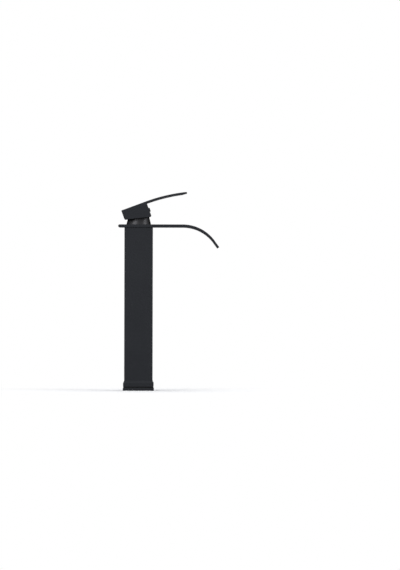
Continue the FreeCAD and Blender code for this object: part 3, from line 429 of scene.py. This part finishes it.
# %% Make the spout
SPOUT_THICKNESS, LIP_THICKNESS, BEND_ANGLE = 0.0048, 0.0038, math.radians(54)
low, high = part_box("spout_top_shell")
spout = made_by(plate, "bent_spout_shell", {
    "Rear": low.x, "Bend Start": 0.0705, "Level": high.z - SPOUT_THICKNESS / 2, "Bend Radius": 0.0627,
    "Bend Angle": BEND_ANGLE, "Lip": 0.0105, "Points": 400,
    "Thinning": (SPOUT_THICKNESS - LIP_THICKNESS) / (1 - math.cos(BEND_ANGLE)), "Width": high.y - low.y,
    "Thickness": SPOUT_THICKNESS, "Edge": 0.0008, "Skin": 0.0012, "Rim": 0.002, "Neck Radius": 0.01505,
    "Finish": finishes["matte_black_metal"]}, math.radians(35))
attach(spout, "tap_body")
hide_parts("spout_top_shell")

# %% [markdown]
# ## Screw thread
# The stud below the deck is threaded over its whole length. A thread is a rule: the radius rises and falls with the
# height and the turn. A flat grid is rolled into a tube by that rule, which gives one clean ridge, where a swept
# triangle would need to be joined to a rod. The ridge fades out at both ends, as on a cut thread.

# %% The rule of the thread: a radius for each height and turn
rod, rod_in, rod_out = start_group(
    "threaded_rod", "GeometryNodeTree",
    [("Foot", VECTOR, None), ("Length", FLOAT, None), ("Radius", FLOAT, None), ("Thread Depth", FLOAT, None),
     ("Pitch", FLOAT, None), ("Points Around", INTEGER, None), ("Points Along", INTEGER, None),
     ("Finish", MATERIAL, None)], [("Mesh", GEOMETRY)])
size = rod_in.outputs
sheet = place(rod, "GeometryNodeMeshGrid", {
    "Size X": 1.0, "Size Y": 1.0, "Vertices X": calculate(rod, "ADD", size["Points Around"], 1.0),
    "Vertices Y": size["Points Along"]})
where = place(rod, "ShaderNodeSeparateXYZ", {"Vector": place(rod, "GeometryNodeInputPosition").outputs[0]})
turn = calculate(rod, "ADD", where.outputs["X"], 0.5)
height = calculate(rod, "MULTIPLY", calculate(rod, "ADD", where.outputs["Y"], 0.5), size["Length"])
phase = calculate(rod, "FRACT", calculate(rod, "SUBTRACT", calculate(rod, "DIVIDE", height, size["Pitch"]), turn))
ridge = calculate(rod, "ABSOLUTE", calculate(rod, "MULTIPLY_ADD", phase, 2.0, -1.0))
ridge = place(rod, "ShaderNodeMapRange", {"Value": ridge, "From Min": 0.12, "From Max": 0.88}).outputs["Result"]
to_end = calculate(rod, "MINIMUM", height, calculate(rod, "SUBTRACT", size["Length"], height))
fade = place(rod, "ShaderNodeMapRange", {"Value": to_end, "From Max": size["Pitch"]}).outputs["Result"]
sunk = calculate(rod, "SUBTRACT", calculate(rod, "MULTIPLY", ridge, fade), 1.0)
radius = calculate(rod, "MULTIPLY_ADD", sunk, size["Thread Depth"], size["Radius"])
print(rod.name, "has its rule, with", len(rod.nodes), "nodes so far")

# %% The rod: a rolled sheet with two lids
angle = calculate(rod, "MULTIPLY", turn, math.tau)
spot = place(rod, "ShaderNodeCombineXYZ", {
    "X": calculate(rod, "MULTIPLY", radius, calculate(rod, "COSINE", angle)),
    "Y": calculate(rod, "MULTIPLY", radius, calculate(rod, "SINE", angle)), "Z": height})
tube = place(rod, "GeometryNodeSetPosition", {"Geometry": sheet.outputs["Mesh"], "Position": spot.outputs["Vector"]})
lid = place(rod, "GeometryNodeMeshCircle", {
    "Vertices": size["Points Around"], "Radius": calculate(rod, "SUBTRACT", size["Radius"], size["Thread Depth"])},
    fill_type="NGON")
under = place(rod, "GeometryNodeFlipFaces", {"Mesh": lid.outputs["Mesh"]})
over = place(rod, "GeometryNodeTransform", {
    "Geometry": lid.outputs["Mesh"],
    "Translation": place(rod, "ShaderNodeCombineXYZ", {"Z": size["Length"]}).outputs["Vector"]})
whole = place(rod, "GeometryNodeJoinGeometry", {"Geometry": tube.outputs["Geometry"]})
rod.links.new(under.outputs["Mesh"], whole.inputs["Geometry"])
rod.links.new(over.outputs["Geometry"], whole.inputs["Geometry"])
closed = place(rod, "GeometryNodeMergeByDistance", {"Geometry": whole.outputs["Geometry"], "Distance": 0.000002})
stood = place(rod, "GeometryNodeTransform", {"Geometry": closed.outputs["Geometry"], "Translation": size["Foot"]})
real = place(rod, "GeometryNodeRealizeInstances", {"Geometry": stood.outputs["Geometry"]})
plated = place(rod, "GeometryNodeSetMaterial", {"Geometry": real.outputs["Geometry"], "Material": size["Finish"]})
rod.links.new(plated.outputs["Geometry"], rod_out.inputs["Mesh"])
print(rod.name, "with", len(rod.nodes), "nodes")

# %% Make the stud
low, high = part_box("mounting_stud")
stud = made_by(rod, "threaded_stud", {
    "Foot": ((low.x + high.x) / 2, 0, low.z), "Length": high.z - low.z, "Radius": (high.x - low.x) / 2,
    "Thread Depth": 0.00065, "Pitch": 0.00125, "Points Around": 32, "Points Along": 421, "Finish": finishes["steel"]},
    math.radians(50))
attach(stud, "tap_body")
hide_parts("mounting_stud")

# %% [markdown]
# ## Tapped ports
# The two ports in the foot are tapped for hose tails. The threaded rod can serve as the tap that cuts them: two rods
# stand on a row of points and are taken away from a copy of the block. Only their ridges reach into the metal, because
# the ports are already bored. A copied solid is loose triangles, so its points are merged first.

# %% A block with tapped ports
tapped, tapped_in, tapped_out = start_group(
    "tapped_ports", "GeometryNodeTree",
    [("Block", GEOMETRY, None), ("First Port", VECTOR, None), ("Port Step", VECTOR, None), ("Length", FLOAT, None),
     ("Radius", FLOAT, None), ("Thread Depth", FLOAT, None), ("Pitch", FLOAT, None), ("Points Around", INTEGER, None),
     ("Points Along", INTEGER, None), ("Finish", MATERIAL, None)], [("Mesh", GEOMETRY)])
size = tapped_in.outputs
tap = place(tapped, "GeometryNodeGroup", node_tree=rod)
for label in ("Length", "Radius", "Thread Depth", "Pitch", "Points Around", "Points Along", "Finish"):
    tapped.links.new(size[label], tap.inputs[label])
ports = place(tapped, "GeometryNodeMeshLine", {"Count": 2, "Start Location": size["First Port"],
                                               "Offset": size["Port Step"]})
taps = place(tapped, "GeometryNodeInstanceOnPoints", {"Points": ports.outputs["Mesh"], "Instance": tap.outputs["Mesh"]})
taps = place(tapped, "GeometryNodeRealizeInstances", {"Geometry": taps.outputs["Instances"]})
cut = place(tapped, "GeometryNodeMeshBoolean", {"Mesh 1": size["Block"], "Mesh 2": taps.outputs["Geometry"]},
            operation="DIFFERENCE", solver="EXACT")
welded = place(tapped, "GeometryNodeMergeByDistance", {"Geometry": cut.outputs["Mesh"], "Distance": 0.000001})
real = place(tapped, "GeometryNodeRealizeInstances", {"Geometry": welded.outputs["Geometry"]})
bright = place(tapped, "GeometryNodeSetMaterial", {"Geometry": real.outputs["Geometry"], "Material": size["Finish"]})
tapped.links.new(bright.outputs["Geometry"], tapped_out.inputs["Mesh"])
print(tapped.name, "with", len(tapped.nodes), "nodes")

# %% Make the inlet block
PORT_PITCH, PORT_AHEAD, PORT_SPREAD = 0.001, 0.003, 0.015
low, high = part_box("inlet_block")
solid = nodes["inlet_block"].data
blank = bpy.data.meshes.new("inlet_blank")
blank.from_pydata([point.co for point in solid.vertices], [], [face.vertices[:] for face in solid.polygons])
merged = bmesh.new()
merged.from_mesh(blank)
bmesh.ops.remove_doubles(merged, verts=merged.verts, dist=0.000001)
merged.to_mesh(blank)
merged.free()
block = made_by(tapped, "tapped_inlet_block", {
    "First Port": (PORT_AHEAD, -PORT_SPREAD / 2, low.z - 2 * PORT_PITCH), "Port Step": (0, PORT_SPREAD, 0),
    "Length": 12 * PORT_PITCH, "Radius": 0.005, "Thread Depth": 0.00064, "Pitch": PORT_PITCH, "Points Around": 48,
    "Points Along": 121, "Finish": finishes["brass"]}, math.radians(35), blank)
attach(block, "tap_body")
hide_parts("inlet_block")

# %% [markdown]
# ## Clamping nut
# A hexagon nut is turned before it is milled, so a cone cuts its corners and leaves an arc on each flat. Rings of
# points follow that rule: at each angle the flat gives the radius, and the cone gives the height of the corner's cut.

# %% Make the nut
NUT_FACE_SHARE, BORE_CHAMFER = 0.97, 0.0004


def hexagon_nut(name, across, bore, low, high, centre, cone=math.radians(30), around=144):
    """A hexagon nut whose corners are cut by a cone at both ends."""
    mesh = bmesh.new()
    rings = []
    face, chamfer = across / 2 * NUT_FACE_SHARE, BORE_CHAMFER
    for number in range(around):
        turn = math.tau * number / around
        flat = across / 2 / math.cos((turn + math.pi / 6) % (math.pi / 3) - math.pi / 6)
        cut = (flat - face) * math.tan(cone)
        outline = [(bore, low + chamfer), (bore + chamfer, low), (face, low), (flat, low + cut),
                   (flat, high - cut), (face, high), (bore + chamfer, high), (bore, high - chamfer)]
        rings.append([mesh.verts.new((centre.x + r * math.cos(turn), centre.y + r * math.sin(turn), z))
                      for r, z in outline])
    for number in range(around):
        first, second = rings[number], rings[(number + 1) % around]
        for step in range(len(first)):
            after = (step + 1) % len(first)
            mesh.faces.new((first[step], second[step], second[after], first[after]))
    bmesh.ops.recalc_face_normals(mesh, faces=mesh.faces)
    nut = bpy.data.objects.new(name, bpy.data.meshes.new(name))
    mesh.to_mesh(nut.data)
    mesh.free()
    nut.data.shade_smooth()
    nut.data.set_sharp_from_angle(angle=math.radians(20))
    bpy.context.scene.collection.objects.link(nut)
    return nut


low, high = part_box("clamp_nut")
nut = hexagon_nut("clamping_nut", high.y - low.y, 0.00405, low.z, high.z, (low + high) / 2)
nut.data.materials.append(finishes["steel"])
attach(nut, "tap_body")
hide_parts("clamp_nut")
print(nut.name, len(nut.data.polygons), "faces")

# %% [markdown]
# ## Floor
# The tap is shown as in a catalogue, on a plain pale floor without a horizon. A curved backdrop would do that for one
# view only, so the floor is a flat disc that is lit and shadowed near the tap and fades to plain white around it. It
# shows only from above, which keeps the fixing below it in sight from underneath.

# %% Floor
stage_mesh = bpy.data.meshes.new("floor")
disc = bmesh.new()
bmesh.ops.create_circle(disc, cap_ends=True, segments=96, radius=12.0)
disc.to_mesh(stage_mesh)
disc.free()
floor = bpy.data.objects.new("floor", stage_mesh)
bpy.context.scene.collection.objects.link(floor)
print("floor", round(floor.dimensions.x, 1), "m across")

# %% Floor finish: lit near the tap, white further off, clear from below
LIT_WITHIN, WHITE_BEYOND = 0.06, 0.3


def seen_or_mirrored(tree):
    """One for rays that are seen, straight, in a mirror or through glass, and nought for light."""
    rays = place(tree, "ShaderNodeLightPath").outputs
    mirrored = calculate(tree, "MAXIMUM", rays["Is Glossy Ray"], rays["Is Transmission Ray"])
    return calculate(tree, "MAXIMUM", rays["Is Camera Ray"], mirrored)


pale = bpy.data.materials.new("pale_floor")
pale.use_nodes = True
tree = pale.node_tree
tree.nodes.remove(tree.nodes["Principled BSDF"])
away = place(tree, "ShaderNodeVectorMath", {0: place(tree, "ShaderNodeTexCoord").outputs["Object"]},
             operation="LENGTH")
far = place(tree, "ShaderNodeMapRange", {"Value": away.outputs["Value"], "From Min": LIT_WITHIN,
                                         "From Max": WHITE_BEYOND}, interpolation_type="SMOOTHSTEP")
lit = place(tree, "ShaderNodeBsdfDiffuse", {"Color": (0.9, 0.9, 0.91, 1)})
white = place(tree, "ShaderNodeEmission", {"Color": (1, 1, 1, 1), "Strength": 1.0})
whitening = calculate(tree, "MULTIPLY", far.outputs["Result"], seen_or_mirrored(tree))
whiter = place(tree, "ShaderNodeMixShader", {"Fac": whitening, 1: lit.outputs[0], 2: white.outputs[0]})
clear = place(tree, "ShaderNodeBsdfTransparent")
sided = place(tree, "ShaderNodeMixShader", {"Fac": place(tree, "ShaderNodeNewGeometry").outputs["Backfacing"],
                                            1: whiter.outputs[0], 2: clear.outputs[0]})
tree.links.new(sided.outputs[0], tree.nodes["Material Output"].inputs["Surface"])
stage_mesh.materials.append(pale)
print(pale.name, "with", len(tree.nodes), "nodes")

# %% [markdown]
# ## Light
# Matte black shows its form by soft reflections, so the lamps are large. One on the left models the column, a tall
# one on the right gives the cover its second streak, and one above softens the shadows. Their power is set so that a
# mid grey on the camera's side comes out as about that grey, and a matte finish looks about as it is written. The
# surroundings are white to the eye and in reflections, and dimmer as a light.

# %% Lamps
TAP_MIDDLE = Vector((0.03, 0, 0.17))


def softbox(name, place_at, width, height, power):
    """A soft rectangular lamp that faces the middle of the tap."""
    lamp = bpy.data.lights.new(name, "AREA")
    lamp.shape = "RECTANGLE"
    lamp.size, lamp.size_y, lamp.energy = width, height, power
    holder = bpy.data.objects.new(name, lamp)
    holder.location = place_at
    holder.rotation_euler = (TAP_MIDDLE - holder.location).to_track_quat("-Z", "Y").to_euler()
    bpy.context.scene.collection.objects.link(holder)


softbox("left_lamp", (-1.25, -1.45, 1.0), 1.3, 1.0, 25)
softbox("right_lamp", (1.35, -0.55, 1.1), 0.35, 1.0, 12)
softbox("top_lamp", (0.1, 0.3, 1.9), 1.4, 1.2, 20)
print(len(bpy.data.lights), "lamps")

# %% Surroundings
world = bpy.data.worlds.new("studio")
bpy.context.scene.world = world
world.use_nodes = True
tree = world.node_tree
tree.nodes.remove(tree.nodes["Background"])
dim = place(tree, "ShaderNodeBackground", {"Color": (0.92, 0.95, 1.0, 1), "Strength": 0.24})
bright = place(tree, "ShaderNodeBackground", {"Color": (1, 1, 1, 1), "Strength": 1.0})
mixed = place(tree, "ShaderNodeMixShader", {"Fac": seen_or_mirrored(tree), 1: dim.outputs[0],
                                            2: bright.outputs[0]})
tree.links.new(mixed.outputs[0], tree.nodes["World Output"].inputs["Surface"])
print(world.name, "with", len(tree.nodes), "nodes")
